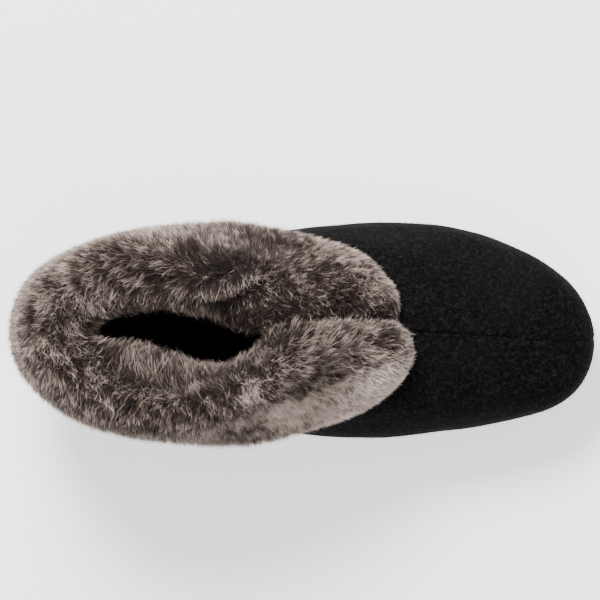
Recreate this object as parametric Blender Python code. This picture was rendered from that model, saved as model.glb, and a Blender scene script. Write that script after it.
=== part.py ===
"""Bootie slipper for the left foot: a black felt upper with a turned-down fur cuff, on a low rubber sole.

Frame, in metres: +X towards the toe, +Y towards the outer side of the foot, +Z up.
The origin is on the floor, in the middle of the heel's flat rest.

Every form is a stack of rings round the foot. A ring starts at the back of the heel, runs forward along the
outer side to the toe, and returns along the inner side. Its turn is an angle: 0 at the heel and pi at the toe.
"""

import math

import bmesh
import bpy
import numpy as np

# Driving sizes
SHOE_LENGTH = 0.253  # upper, from heel to toe at its fullest
BALL_WIDTH = 0.097  # upper, across the ball
HEEL_SEAT = 0.036  # from the back of the upper to the origin
TOE_SWING = 0.005  # the toe's tip lies this far towards the inner side
TOE_BOX_RISE = 0.032  # toe box above the sole's top
TOPLINE_RISE = 0.084  # shaft's upper edge above the sole's top
FELT = 0.003  # wall of the upper
CLEARANCE = 0.0003  # between pieces that lie on each other

# Sole
SOLE_HEEL = 0.020  # thickness under the heel
SOLE_BALL = 0.0125  # thickness under the ball
TOE_SPRING = 0.007
HEEL_BEVEL = 0.0015  # rise of the tread at the very back
ARCH_RISE = 0.002
SOLE_INSET = 0.003  # the sole's edge lies this far inside the upper's fullest outline
TREAD_INSET = 0.0075  # the tread's edge, likewise
RIB_DEPTH = 0.0007
RIB_COUNT = 3
RIB_PITCH = 0.0024
LUG_PITCH = 0.0115
GROOVE_WIDTH = 0.0032
GROOVE_DEPTH = 0.002
GROOVE_SWEEP = 0.005  # how far a groove's middle lies ahead of its ends
TREAD_RIM = 0.007  # uncut border round the grooves

# Where the tread is flat, bends and lifts, as shares of the shoe's length
HEEL_FLAT_START = 0.06
ARCH_START = 0.29
ARCH_END = 0.50
BALL_FLAT_END = 0.76
HEEL_GROOVES_START = 0.075
TOE_GROOVES_END = 0.93
WEDGE_START = 0.16
WEDGE_END = 0.62
FOREFOOT_REST = 0.66 * SHOE_LENGTH  # the forefoot's flat rest, from the back of the heel

# Insole
INSOLE_THICK = 0.0045
INSOLE_INSET = 0.0078
INSOLE_ROUND = 0.0012

# Seams down the toe and the heel, pressed into the felt
SEAM_DEPTH = 0.0008
SEAM_TURN = 0.022  # radians from a seam's bottom to its shoulder

# Fur cuff
CUFF_DROP = 0.063  # the turned-down band, from the topline to its lowest hairs
CUFF_LINING = 0.034  # the band inside the collar
PILE_OUT = 0.0135
PILE_ROLL = 0.0130
HEM_ROUND = 0.014  # the pile rises to its full height over this distance
CUFF_GAP = 0.0007  # cuff to felt, where both curve
SPLIT_HEM = 0.125  # where the ends meet at the hem, as a turn from the toe's line to the outer side
SPLIT_TOP = 0.10  # and at the topline
SPLIT_GAP = 0.0015
OUTER_END_PILE = 0.48  # share of the pile left at the end that lies under
OUTER_END_ROUND = 0.024  # the pile rises over this distance from it
INNER_END_PILE = 0.62  # likewise at the end that stands over it
INNER_END_ROUND = 0.009
INNER_END_SWELL = 0.10  # and this much more pile next to it
NOTCH_DEPTH = 0.006  # the corners of the ends are cut back this far
NOTCH_WIDTH = 0.016
LOCK_LIFT = 0.0014
LOCK_DROOP = 0.0022
LOCK_COLUMNS = 4  # of the cuff's columns to a lock
LOCK_WANDER = 0.9
LOCK_WAIST = 0.45  # share of a lock's height left between its tiers

# The lip on the outer side by the throat: inside it the collar leans back and its lining shows
LIP_SINK = 0.007
LIP_TURNS = (1.75, 2.10, 2.70, 3.05)  # where the sunk stretch begins, is deep, and ends
LIP_BEND = (0.56, 0.80)  # where it begins and is deep over the roll, as shares of a half turn

# The mouth that the pile leaves open
MOUTH_BACK = 0.114  # its ends, as shares of the shoe's length
MOUTH_FRONT = 0.414
MOUTH_WIDTH = 0.021

# How finely the faceted solids are cut
UPPER_COLUMNS = 48
SOLE_COLUMNS = 48
CUFF_COLUMNS = 96

# Plan outline against an ellipse: the half width is this share of the ellipse's, on each side
OUTLINE_COLUMNS = ("along", "outer", "inner")
OUTLINE = (
    (0.00, 1.10, 1.10),
    (0.15, 0.97, 0.955),
    (0.30, 0.875, 0.86),
    (0.45, 0.945, 0.965),
    (0.60, 1.035, 1.035),
    (0.75, 1.16, 1.035),
    (0.90, 1.26, 1.15),
    (1.00, 1.38, 1.42),
)

# The collar's outline, likewise: the slack shaft is fuller behind on the outer side and ahead on the inner
COLLAR = (
    (0.00, 1.04, 1.10),
    (0.30, 1.06, 1.06),
    (0.70, 0.91, 1.06),
    (1.00, 0.95, 1.03),
)

# Sections of the upper, from the lasted margin to the topline.
# back, front: its ends, as shares of the length. width: of the ball's width.
# heel: rise at the back, of the topline's rise. toe, throat: rise at the front, of the toe box's rise and of
# the rest up to the topline. collar: how much it takes the collar's outline. bed: how much it follows the sole.
SECTION_COLUMNS = ("back", "front", "width", "heel", "toe", "throat", "collar", "bed")
SECTIONS = (
    (0.051, 0.949, 0.732, 0.000, 0.00, 0.000, 0.00, 1.00),
    (0.020, 0.980, 0.896, 0.000, 0.00, 0.000, 0.00, 1.00),
    (0.014, 0.986, 0.926, 0.016, 0.04, 0.000, 0.00, 1.00),
    (0.006, 0.995, 0.968, 0.080, 0.20, 0.000, 0.00, 0.90),
    (0.000, 1.000, 1.000, 0.190, 0.42, 0.000, 0.00, 0.60),
    (0.001, 0.990, 0.972, 0.310, 0.67, 0.000, 0.08, 0.35),
    (0.004, 0.963, 0.900, 0.410, 0.85, 0.005, 0.18, 0.20),
    (0.008, 0.918, 0.836, 0.495, 0.96, 0.025, 0.32, 0.08),
    (0.012, 0.858, 0.788, 0.570, 1.00, 0.065, 0.47, 0.00),
    (0.016, 0.790, 0.750, 0.640, 1.00, 0.125, 0.61, 0.00),
    (0.020, 0.716, 0.716, 0.712, 1.00, 0.210, 0.75, 0.00),
    (0.023, 0.642, 0.690, 0.786, 1.00, 0.330, 0.87, 0.00),
    (0.026, 0.572, 0.664, 0.858, 1.00, 0.495, 0.95, 0.00),
    (0.028, 0.514, 0.642, 0.928, 1.00, 0.720, 1.00, 0.00),
    (0.030, 0.466, 0.620, 1.000, 1.00, 1.000, 1.00, 0.00),
)
FEATHER_ROW, CORNER_ROW, WALL_ROW, TOP_ROW = 1, 2, 3, len(SECTIONS) - 1
OUTER_ROWS = (0, 1, 2, 3, 4, 4.5, 5, 5.5, 6, 6.5, 7, 7.5, 8, 9, 10, 11, 12, 13, 14)
INNER_ROWS = (3, 4, 5, 6, 7, 8, 9.5, 11, 12.5, 14)

# How far the band hangs down at each turn from the toe's line, as shares of the cuff's drop
FLAP_COLUMNS = ("turn", "outer", "inner")
FLAP = (
    (0.00, 0.99, 1.02),
    (0.35, 1.00, 1.06),
    (0.70, 1.04, 1.11),
    (1.05, 1.13, 1.15),
    (1.40, 1.05, 1.05),
    (1.80, 0.97, 0.97),
    (3.15, 0.92, 0.92),
)

# Depth of the pile outside at each turn from the toe's line, as shares of its own size
DEPTH_COLUMNS = ("turn", "outer", "inner")
DEPTH = (
    (0.00, 1.00, 1.05),
    (0.80, 1.00, 0.80),
    (1.20, 1.00, 0.82),
    (1.60, 1.08, 1.14),
    (1.95, 1.05, 1.25),
    (2.40, 1.08, 1.25),
    (2.80, 1.16, 1.18),
    (3.15, 1.12, 1.12),
)

# The mouth's middle line and half width at shares of its length: a slanting lens with a slight bend
MOUTH_COLUMNS = ("along", "middle", "half")
MOUTH = (
    (0.00, 0.02, 0.95),
    (0.22, 0.17, 0.80),
    (0.36, 0.12, 0.86),
    (0.55, -0.25, 0.97),
    (0.74, -0.53, 0.90),
    (0.90, -0.46, 0.64),
    (1.00, -0.23, 0.50),
)

# Rows of fur down the outside and inside of the cuff, as shares of each band, and round its roll
OUTSIDE_ROWS = (0.965, 0.90, 0.81, 0.71, 0.61, 0.51, 0.41, 0.30, 0.20, 0.10)
ROLL_STEPS = 6
INSIDE_ROWS = (0.28, 0.56, 0.82, 1.0)
BACKING_INSIDE = (0.66, 0.30)
BACKING_ROLL_STEPS = 3
BACKING_OUTSIDE = (0.18, 0.38, 0.58, 0.80)

MATERIALS = {
    "rubber": ((0.022, 0.021, 0.020), 0.62),
    "felt": ((0.012, 0.011, 0.011), 0.95),
    "fleece": ((0.016, 0.014, 0.013), 1.0),
    "fur": ((0.19, 0.16, 0.145), 0.85),
}


def smooth(table, column, at):
    """A cubic through one column of a table whose first column holds the places, with slopes from the neighbours."""
    places = np.array([row[0] for row in table], float)
    values = np.array([row[column] for row in table], float)
    slopes = np.gradient(values, places)
    at = np.clip(np.asarray(at, float), places[0], places[-1])
    i = np.clip(np.searchsorted(places, at, side="right") - 1, 0, len(places) - 2)
    span = places[i + 1] - places[i]
    t = (at - places[i]) / span
    return (
        (2 * t**3 - 3 * t**2 + 1) * values[i]
        + (t**3 - 2 * t**2 + t) * span * slopes[i]
        + (3 * t**2 - 2 * t**3) * values[i + 1]
        + (t**3 - t**2) * span * slopes[i + 1]
    )


def ease(value, start, end):
    """0 up to start, 1 from end on, and a smooth step between."""
    t = np.clip((np.asarray(value, float) - start) / (end - start), 0, 1)
    return t * t * (3 - 2 * t)


def quarter_round(distance, radius):
    """Height of a quarter circle, 0 at its foot and 1 from one radius on."""
    t = np.clip(np.asarray(distance, float) / radius, 0, 1)
    return np.sqrt(1 - (1 - t) ** 2)


def turns(count):
    return np.arange(count) * 2 * math.pi / count


def half_width(turn, collar=0.0):
    """Share of the ball's half width at a turn of a ring, signed: + on the outer side."""
    along = (1 - np.cos(turn)) / 2
    outer = np.sin(turn) >= 0
    sole_line = np.where(outer, smooth(OUTLINE, 1, along), smooth(OUTLINE, 2, along))
    collar_line = np.where(outer, smooth(COLLAR, 1, along), smooth(COLLAR, 2, along))
    return np.sin(turn) * (sole_line + (collar_line - sole_line) * collar)


def swing(x):
    """Sideways shift of the toe, at a distance from the heel."""
    return -TOE_SWING * ease(x / SHOE_LENGTH, 0.55, 1.0)


def in_frame(x, y, z):
    """Points from distances measured at the back of the heel."""
    return np.stack(np.broadcast_arrays(x - HEEL_SEAT, y, z), -1)


def tread_height(x):
    """Underside of the sole above the floor."""
    along = np.asarray(x, float) / SHOE_LENGTH
    heel = HEEL_BEVEL * np.clip(1 - along / HEEL_FLAT_START, 0, 1) ** 2
    in_arch = np.clip((along - ARCH_START) / (ARCH_END - ARCH_START), 0, 1)
    arch = ARCH_RISE * np.sin(math.pi * in_arch) ** 2
    toe = TOE_SPRING * np.clip((along - BALL_FLAT_END) / (1 - BALL_FLAT_END), 0, 1) ** 2
    return heel + arch + toe


def sole_top(x):
    """Top of the sole above the floor."""
    along = np.asarray(x, float) / SHOE_LENGTH
    wedge = (SOLE_HEEL - SOLE_BALL) * (1 - ease(along, WEDGE_START, WEDGE_END))
    toe = TOE_SPRING * np.clip((along - BALL_FLAT_END) / (1 - BALL_FLAT_END), 0, 1) ** 2
    return SOLE_BALL + wedge + toe


def plan_ring(turn, inset):
    """Distances from the heel and from the centre line of an outline that lies inside the fullest one."""
    x = inset + (SHOE_LENGTH - 2 * inset) * (1 - np.cos(turn)) / 2
    y = (BALL_WIDTH / 2 - inset) * half_width(turn) + swing(x)
    return x, y


def section_values(row):
    """The columns of the section table at a row that may lie between two of its rows."""
    table = [(i, *values) for i, values in enumerate(SECTIONS)]
    return {name: smooth(table, i + 1, row) for i, name in enumerate(SECTION_COLUMNS)}


def felt_surface(row, turn):
    """Outside of the upper."""
    s = section_values(row)
    along = (1 - np.cos(turn)) / 2
    x = SHOE_LENGTH * (s["back"] + (s["front"] - s["back"]) * along)
    y = BALL_WIDTH / 2 * s["width"] * half_width(turn, s["collar"]) + swing(x)
    level = sole_top(0) + (sole_top(SHOE_LENGTH) - sole_top(0)) * x / SHOE_LENGTH
    bed = level + (sole_top(x) - level) * s["bed"] + CLEARANCE
    front = s["toe"] * TOE_BOX_RISE + s["throat"] * (TOPLINE_RISE - TOE_BOX_RISE)
    back = s["heel"] * TOPLINE_RISE
    return in_frame(x, y, bed + back + (front - back) * along)


def unit(vectors):
    return vectors / np.linalg.norm(vectors, axis=-1, keepdims=True)


def felt_up(row, turn, step=0.02):
    """Direction up the outside of the upper."""
    low, high = np.maximum(row - step, 0), np.minimum(row + step, TOP_ROW)
    return unit(felt_surface(high, turn) - felt_surface(low, turn))


def felt_normal(row, turn, step=0.02):
    """Direction out of the upper."""
    forward = felt_surface(row, turn + step) - felt_surface(row, turn - step)
    return unit(np.cross(felt_up(row, turn), forward))


def felt_inside(row, turn):
    return felt_surface(row, turn) - FELT * felt_normal(row, turn)


def felt_rim(row, turn):
    """Middle of the felt's thickness."""
    return felt_surface(row, turn) - FELT / 2 * felt_normal(row, turn)


def grid_faces(rows, columns, closed=True):
    """Quads between rows of points, each round a ring, or across a strip that isn't closed."""
    faces = []
    for r in range(rows - 1):
        for c in range(columns if closed else columns - 1):
            d = (c + 1) % columns
            faces.append((r * columns + c, r * columns + d, (r + 1) * columns + d, (r + 1) * columns + c))
    return faces


def strip_faces(start, columns, flip):
    """Quads across a ring, from each point of its outer side to the one opposite."""
    faces = []
    for c in range(columns // 2):
        a, b = c, c + 1
        quad = [start + a, start + b, start + (columns - b) % columns, start + (columns - a) % columns]
        quad = list(dict.fromkeys(quad))
        faces.append(tuple(reversed(quad)) if flip else tuple(quad))
    return faces


def add_object(name, points, faces, material):
    mesh = bpy.data.meshes.new(name)
    mesh.from_pydata([tuple(map(float, p)) for p in points], [], faces)
    work = bmesh.new()
    work.from_mesh(mesh)
    bmesh.ops.recalc_face_normals(work, faces=work.faces)
    bmesh.ops.triangulate(work, faces=[f for f in work.faces if len(f.verts) > 4], ngon_method="EAR_CLIP")
    work.to_mesh(mesh)
    work.free()
    mesh.shade_smooth()
    mesh.set_sharp_from_angle(angle=math.radians(40))
    obj = bpy.data.objects.new(name, mesh)
    bpy.context.scene.collection.objects.link(obj)
    if material:
        mesh.materials.append(material)
    return obj


def make_material(name):
    colour, roughness = MATERIALS[name]
    material = bpy.data.materials.new(name)
    material.use_nodes = True
    shader = material.node_tree.nodes["Principled BSDF"]
    shader.inputs["Base Color"].default_value = (*colour, 1)
    shader.inputs["Roughness"].default_value = roughness
    shader.inputs["Metallic"].default_value = 0.0
    return material


def sole_rings():
    """(inset, height) of each ring from the tread's edge, up the ribbed side, to the raised bed inside the margin."""
    turn = turns(SOLE_COLUMNS)

    def ring(inset, height):
        x, y = plan_ring(turn, inset)
        return in_frame(x, y, height(x))

    rings = [
        ring(TREAD_INSET, tread_height),
        ring(TREAD_INSET - 0.0025, lambda x: tread_height(x) + 0.0008),
        ring(SOLE_INSET + RIB_DEPTH, lambda x: tread_height(x) + 0.003),
    ]
    for i in range(RIB_COUNT):
        below_top = RIB_PITCH * (RIB_COUNT - i)
        rings.append(ring(SOLE_INSET + RIB_DEPTH, lambda x, d=below_top: sole_top(x) - d - RIB_PITCH * 0.25))
        rings.append(ring(SOLE_INSET, lambda x, d=below_top: sole_top(x) - d + RIB_PITCH * 0.15))
        rings.append(ring(SOLE_INSET, lambda x, d=below_top: sole_top(x) - d + RIB_PITCH * 0.5))
    margin_edge = BALL_WIDTH / 2 * (1 - SECTIONS[0][2]) + CLEARANCE
    rings.append(ring(SOLE_INSET, lambda x: sole_top(x) - RIB_PITCH * 0.25))
    rings.append(ring(SOLE_INSET + RIB_PITCH * 0.25, sole_top))
    rings.append(ring(margin_edge, sole_top))
    rings.append(ring(margin_edge + CLEARANCE, lambda x: sole_top(x) + FELT))
    return rings


def groove_cutter(x_middle):
    """Points and faces of one chevron that cuts a groove into the tread."""
    x, y = plan_ring(np.linspace(0.02, math.pi - 0.02, 200), TREAD_INSET + TREAD_RIM)
    reach_out = float(np.interp(x_middle, x, y))
    x, y = plan_ring(-np.linspace(0.02, math.pi - 0.02, 200), TREAD_INSET + TREAD_RIM)
    reach_in = float(np.interp(x_middle, x, y))
    ends = ((x_middle, reach_in), (x_middle + GROOVE_SWEEP, 0.0), (x_middle, reach_out))
    under = -GROOVE_DEPTH
    points = []
    for x_at, y_at in ends:
        roof = float(tread_height(x_at)) + GROOVE_DEPTH
        for side in (-0.5, 0.5):
            for z in (under, roof):
                points.append(in_frame(x_at + side * GROOVE_WIDTH, y_at, z))
    faces = [(0, 1, 3, 2), (8, 9, 11, 10)]
    for i in (0, 4):
        faces += [
            (i, i + 1, i + 5, i + 4),
            (i + 2, i + 3, i + 7, i + 6),
            (i, i + 2, i + 6, i + 4),
            (i + 1, i + 3, i + 7, i + 5),
        ]
    return points, faces


def groove_places():
    """Distances from the heel of the grooves under heel and forefoot, half a pitch either side of the two rests."""
    places = []
    for rest, low, high in (
        (HEEL_SEAT, HEEL_GROOVES_START, ARCH_START),
        (FOREFOOT_REST, ARCH_END, TOE_GROOVES_END),
    ):
        for side in (-1, 1):
            at = rest - GROOVE_SWEEP / 2 + side * LUG_PITCH / 2
            while low * SHOE_LENGTH < at < high * SHOE_LENGTH - GROOVE_SWEEP:
                places.append(at)
                at += side * LUG_PITCH
    return sorted(places)


def make_outsole(material):
    rings = sole_rings()
    points = np.concatenate(rings)
    faces = grid_faces(len(rings), SOLE_COLUMNS)
    faces += strip_faces(0, SOLE_COLUMNS, flip=True)
    faces += strip_faces((len(rings) - 1) * SOLE_COLUMNS, SOLE_COLUMNS, flip=False)
    sole = add_object("outsole", points, faces, material)

    cut_points, cut_faces = [], []
    for place in groove_places():
        new_points, new_faces = groove_cutter(place)
        start = len(cut_points)
        cut_points += new_points
        cut_faces += [tuple(start + i for i in face) for face in new_faces]
    cutter = add_object("groove_cutter", cut_points, cut_faces, None)
    cutter.hide_render = True
    cutter.display_type = "WIRE"
    cut = sole.modifiers.new("grooves", "BOOLEAN")
    cut.operation = "DIFFERENCE"
    cut.object = cutter
    cut.solver = "EXACT"
    return sole


def seamed_turns():
    """The upper's columns, with the shoulders of the seams at heel and toe added."""
    extra = [SEAM_TURN, 2 * math.pi - SEAM_TURN, math.pi - SEAM_TURN, math.pi + SEAM_TURN]
    return np.sort(np.concatenate([turns(UPPER_COLUMNS), extra]))


def seam_pull(turn):
    """How far the felt is pressed in at a turn: at the seams' bottoms only."""
    at_seam = np.abs(np.sin(turn)) < SEAM_TURN / 2
    return np.where(at_seam, SEAM_DEPTH, 0.0)[:, None]


def make_upper(material):
    """One wall of felt: up its outside from the lasted margin to the topline, then down its inside."""
    turn = seamed_turns()
    rings = []
    for row in OUTER_ROWS:
        ring = felt_surface(row, turn)
        if row >= WALL_ROW:
            ring = ring - seam_pull(turn) * felt_normal(row, turn)
        rings.append(ring)
    for row in reversed(INNER_ROWS):
        rings.append(felt_inside(row, turn))

    margin = felt_surface(0, turn)
    feather = felt_surface(FEATHER_ROW, turn)
    inward = unit((margin - feather) * (1, 1, 0))
    corner = feather + inward * FELT * 0.7
    corner[:, 2] = feather[:, 2] + FELT
    lifted = margin + (0, 0, FELT)
    rings += [corner, lifted]
    points = np.concatenate(rings)
    columns = len(turn)
    faces = grid_faces(len(rings), columns)
    last = (len(rings) - 1) * columns
    for c in range(columns):
        d = (c + 1) % columns
        faces.append((last + c, last + d, d, c))
    return add_object("upper", points, faces, material)


def make_insole(material):
    turn = turns(SOLE_COLUMNS)
    bottom = FELT + 2 * CLEARANCE

    def ring(inset, rise):
        x, y = plan_ring(turn, inset)
        return in_frame(x, y, sole_top(x) + rise)

    rings = [
        ring(INSOLE_INSET + 2 * INSOLE_ROUND, bottom),
        ring(INSOLE_INSET, bottom + INSOLE_ROUND),
        ring(INSOLE_INSET, bottom + INSOLE_THICK - INSOLE_ROUND),
        ring(INSOLE_INSET + INSOLE_ROUND, bottom + INSOLE_THICK),
    ]
    faces = grid_faces(len(rings), SOLE_COLUMNS)
    faces += strip_faces(0, SOLE_COLUMNS, flip=True)
    faces += strip_faces((len(rings) - 1) * SOLE_COLUMNS, SOLE_COLUMNS, flip=False)
    return add_object("insole", np.concatenate(rings), faces, material)


def row_below(turn, distance):
    """Section row at a distance along the felt below the topline, at each turn."""
    turn = np.asarray(turn, float)
    rows = np.linspace(TOP_ROW, WALL_ROW, 60)
    points = felt_surface(rows[:, None], turn[None, :])
    steps = np.linalg.norm(np.diff(points, axis=0), axis=-1)
    distances = np.concatenate([np.zeros((1, len(turn))), np.cumsum(steps, axis=0)])
    distance = np.broadcast_to(distance, turn.shape)
    return np.array([np.interp(distance[i], distances[:, i], rows) for i in range(len(turn))])


def on_facets(surface, rows, row, turn):
    """surface(row, turn) on the facets between the upper's own rows and columns."""
    rows = np.array(rows, float)
    i = np.clip(np.searchsorted(rows, row, side="right") - 1, 0, len(rows) - 2)
    step = 2 * math.pi / UPPER_COLUMNS
    low = np.floor(turn / step) * step
    v = ((row - rows[i]) / (rows[i + 1] - rows[i]))[:, None]
    u = ((turn - low) / step)[:, None]
    below = surface(rows[i], low) * (1 - u) + surface(rows[i], low + step) * u
    above = surface(rows[i + 1], low) * (1 - u) + surface(rows[i + 1], low + step) * u
    return below * (1 - v) + above * v


def backing_out(turn, distance):
    at = row_below(turn, distance)
    return on_facets(felt_surface, OUTER_ROWS, at, turn) + felt_normal(at, turn) * CUFF_GAP


def backing_in(turn, distance):
    at = row_below(turn, distance)
    return on_facets(felt_inside, INNER_ROWS, at, turn) - felt_normal(at, turn) * CUFF_GAP


def backing_over(turn, bend):
    """The backing round the felt's upper edge: bend is 0 on its outside and pi on its inside."""
    rim = on_facets(felt_rim, (TOP_ROW - 1, TOP_ROW), np.full(len(turn), float(TOP_ROW)), turn)
    direction = math.cos(bend) * felt_normal(TOP_ROW, turn) + math.sin(bend) * felt_up(TOP_ROW, turn)
    return rim + direction * (FELT / 2 + CUFF_GAP)


def mouth_ring(turn):
    """The narrow opening between the piles, seen from above."""
    along = (1 - np.cos(turn)) / 2
    x = SHOE_LENGTH * (MOUTH_BACK + (MOUTH_FRONT - MOUTH_BACK) * along)
    y = MOUTH_WIDTH / 2 * (smooth(MOUTH, 1, along) + np.sin(turn) * smooth(MOUTH, 2, along))
    return in_frame(x, y, 0.0)


def band_turns(share):
    """The cuff's columns at a share of the turned-down band: the split leans, and all the fur with it."""
    split = math.pi - (SPLIT_TOP + (SPLIT_HEM - SPLIT_TOP) * share)
    half_gap = SPLIT_GAP / 2 / (BALL_WIDTH / 2 * SECTIONS[TOP_ROW - 3][2])
    return np.linspace(split - half_gap, split - 2 * math.pi + half_gap, CUFF_COLUMNS + 1)


def from_split():
    """Distance of each column from the nearer end of the band."""
    turn = band_turns(0.0)
    return BALL_WIDTH / 2 * SECTIONS[TOP_ROW - 3][2] * np.minimum(turn[0] - turn, turn - turn[-1])


def end_pile():
    """Share of the pile at each column: the end on the inner side stands over the other one."""
    away = from_split()
    outer = OUTER_END_PILE + (1 - OUTER_END_PILE) * quarter_round(away, OUTER_END_ROUND)
    inner = INNER_END_PILE + (1 - INNER_END_PILE) * quarter_round(away, INNER_END_ROUND)
    inner = inner + INNER_END_SWELL * (1 - ease(away, INNER_END_ROUND, 4 * INNER_END_ROUND))
    on_outer_half = np.arange(CUFF_COLUMNS + 1) * 2 < CUFF_COLUMNS
    return np.where(on_outer_half, outer, inner)[:, None]


def outside_depth(turn):
    """Depth of the pile on the outside at each turn."""
    from_toe = np.arccos(np.clip(-np.cos(turn), -1, 1))
    share = np.where(np.sin(turn) >= 0, smooth(DEPTH, 1, from_toe), smooth(DEPTH, 2, from_toe))
    return PILE_OUT * share[:, None] * end_pile()


def lip_sink(turn, bend):
    """How far the roll lies lower on its inner side, behind the lip."""
    window = ease(turn, LIP_TURNS[0], LIP_TURNS[1]) * (1 - ease(turn, LIP_TURNS[2], LIP_TURNS[3]))
    return (LIP_SINK * window * ease(bend / math.pi, LIP_BEND[0], LIP_BEND[1]))[:, None]


def band_drop():
    """Length of the turned-down band at each column, with the corners of its two ends cut back."""
    turn = band_turns(1.0)
    from_toe = np.arccos(np.clip(-np.cos(turn), -1, 1))
    share = np.where(np.sin(turn) >= 0, smooth(FLAP, 1, from_toe), smooth(FLAP, 2, from_toe))
    return CUFF_DROP * share - NOTCH_DEPTH * (1 - np.minimum(from_split() / NOTCH_WIDTH, 1)) ** 2


def lock_shift(row):
    """Lift and droop of the fur along one row: locks run down the band as wandering strips that swell in tiers."""
    column = np.arange(CUFF_COLUMNS + 1)
    wander = LOCK_WANDER * np.sin(0.8 * row + 0.37 * column)
    ridge = np.cos(2 * math.pi * column / LOCK_COLUMNS + wander)
    swell = (1 if row % 2 else LOCK_WAIST) * (1 + 0.3 * np.sin(1.1 * column + 1.7 * row))
    return (LOCK_LIFT * ridge * swell)[:, None], (LOCK_DROOP * np.maximum(ridge, 0) * swell)[:, None]


def cuff_rows():
    """Rows of points round the cuff: fur up the outside, over the roll and down the inside, then the backing."""
    drop = band_drop()
    share_of_pile = end_pile()
    rows = [backing_out(band_turns(1.0), drop)]

    for i, share in enumerate(OUTSIDE_ROWS):
        turn = band_turns(share)
        at = row_below(turn, share * drop)
        normal = felt_normal(at, turn)
        lift, droop = lock_shift(i + 1)
        pile = outside_depth(turn) * quarter_round((1 - share) * drop, HEM_ROUND)[:, None]
        rows.append(felt_surface(at, turn) + normal * (CUFF_GAP + pile + lift) - felt_up(at, turn) * droop)

    turn = band_turns(0.0)
    rim, out, up = felt_rim(TOP_ROW, turn), felt_normal(TOP_ROW, turn), felt_up(TOP_ROW, turn)
    to_mouth = (mouth_ring(turn) - rim) * (1, 1, 0)
    for i in range(ROLL_STEPS + 1):
        bend = math.pi * i / ROLL_STEPS
        lift, droop = lock_shift(len(OUTSIDE_ROWS) + 1 + i)
        side = out * (FELT / 2 + CUFF_GAP + outside_depth(turn)) if bend < math.pi / 2 else -to_mouth
        over = up * (FELT / 2 + CUFF_GAP + PILE_ROLL * share_of_pile)
        away = unit(math.cos(bend) * side + math.sin(bend) * over)
        along = math.sin(bend) * out - math.cos(bend) * up
        fade = 1.0 if bend < math.pi / 2 else math.sin(bend)
        sunk = lip_sink(turn, bend) * (0, 0, 1)
        surface = rim + math.cos(bend) * side + math.sin(bend) * over - sunk
        rows.append(surface + (away * lift + along * droop) * fade)

    for share in INSIDE_ROWS:
        at = row_below(turn, share * CUFF_LINING)
        wall = felt_inside(at, turn) - felt_normal(at, turn) * CUFF_GAP
        pile = quarter_round((1 - share) * CUFF_LINING, HEM_ROUND)
        rows.append(wall + (mouth_ring(turn) - wall) * (1, 1, 0) * pile)

    for share in BACKING_INSIDE:
        rows.append(backing_in(turn, share * CUFF_LINING))
    for i in range(BACKING_ROLL_STEPS + 1):
        rows.append(backing_over(turn, math.pi * (1 - i / BACKING_ROLL_STEPS)))
    for share in BACKING_OUTSIDE:
        rows.append(backing_out(band_turns(share), share * drop))
    return rows


def make_cuff(material):
    """A band of fur over the collar's edge, from one side of the split round the heel to the other."""
    rows = cuff_rows()
    columns = CUFF_COLUMNS + 1
    faces = grid_faces(len(rows), columns, closed=False)
    last = (len(rows) - 1) * columns
    for c in range(CUFF_COLUMNS):
        faces.append((last + c, last + c + 1, c + 1, c))
    faces.append(tuple(r * columns for r in range(len(rows))))
    faces.append(tuple(r * columns + CUFF_COLUMNS for r in range(len(rows))))
    return add_object("fur_cuff", np.concatenate(rows), faces, material)


def main():
    for obj in list(bpy.data.objects):
        bpy.data.objects.remove(obj)
    make_outsole(make_material("rubber"))
    make_upper(make_material("felt"))
    make_insole(make_material("fleece"))
    make_cuff(make_material("fur"))


main()
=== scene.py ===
"""Bootie slipper for the left foot: felt upper, frosted fur cuff and rubber sole, dressed over the CAD frame.

Metres, in the frame of the CAD: +X towards the toe, +Y towards the outer side of the foot, +Z up.
The forms repeat the CAD's own rings, finer, so every piece lies where its solid does.
"""

import math
from types import SimpleNamespace

import bmesh
import bpy
import numpy as np
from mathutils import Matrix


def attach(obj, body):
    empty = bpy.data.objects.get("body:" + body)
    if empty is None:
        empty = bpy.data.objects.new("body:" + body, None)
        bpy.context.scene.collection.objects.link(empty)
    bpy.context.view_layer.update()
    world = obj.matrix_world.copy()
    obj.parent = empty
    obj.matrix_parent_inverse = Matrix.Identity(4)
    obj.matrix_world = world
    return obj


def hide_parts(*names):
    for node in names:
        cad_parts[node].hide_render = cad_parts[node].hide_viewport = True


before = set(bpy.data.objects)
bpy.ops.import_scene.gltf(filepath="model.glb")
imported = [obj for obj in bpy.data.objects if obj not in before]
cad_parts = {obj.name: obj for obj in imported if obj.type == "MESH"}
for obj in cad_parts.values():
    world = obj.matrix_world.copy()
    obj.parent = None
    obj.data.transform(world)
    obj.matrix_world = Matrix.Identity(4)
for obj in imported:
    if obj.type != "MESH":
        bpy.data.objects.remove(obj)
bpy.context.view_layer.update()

# Sizes and tables of the shoe, as in the CAD
SHOE_LENGTH = 0.253
BALL_WIDTH = 0.097
HEEL_SEAT = 0.036
TOE_SWING = 0.005
TOE_BOX_RISE = 0.032
TOPLINE_RISE = 0.084
FELT = 0.003
CLEARANCE = 0.0003
SOLE_HEEL = 0.020
SOLE_BALL = 0.0125
TOE_SPRING = 0.007
BALL_FLAT_END = 0.76
WEDGE_START = 0.16
WEDGE_END = 0.62
CUFF_DROP = 0.063
CUFF_LINING = 0.034
PILE_OUT = 0.0135
PILE_ROLL = 0.0130
HEM_ROUND = 0.014
CUFF_GAP = 0.0007
SPLIT_HEM = 0.125
SPLIT_TOP = 0.10
SPLIT_GAP = 0.0015
OUTER_END_PILE = 0.48
OUTER_END_ROUND = 0.024
INNER_END_PILE = 0.62
INNER_END_ROUND = 0.009
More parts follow.
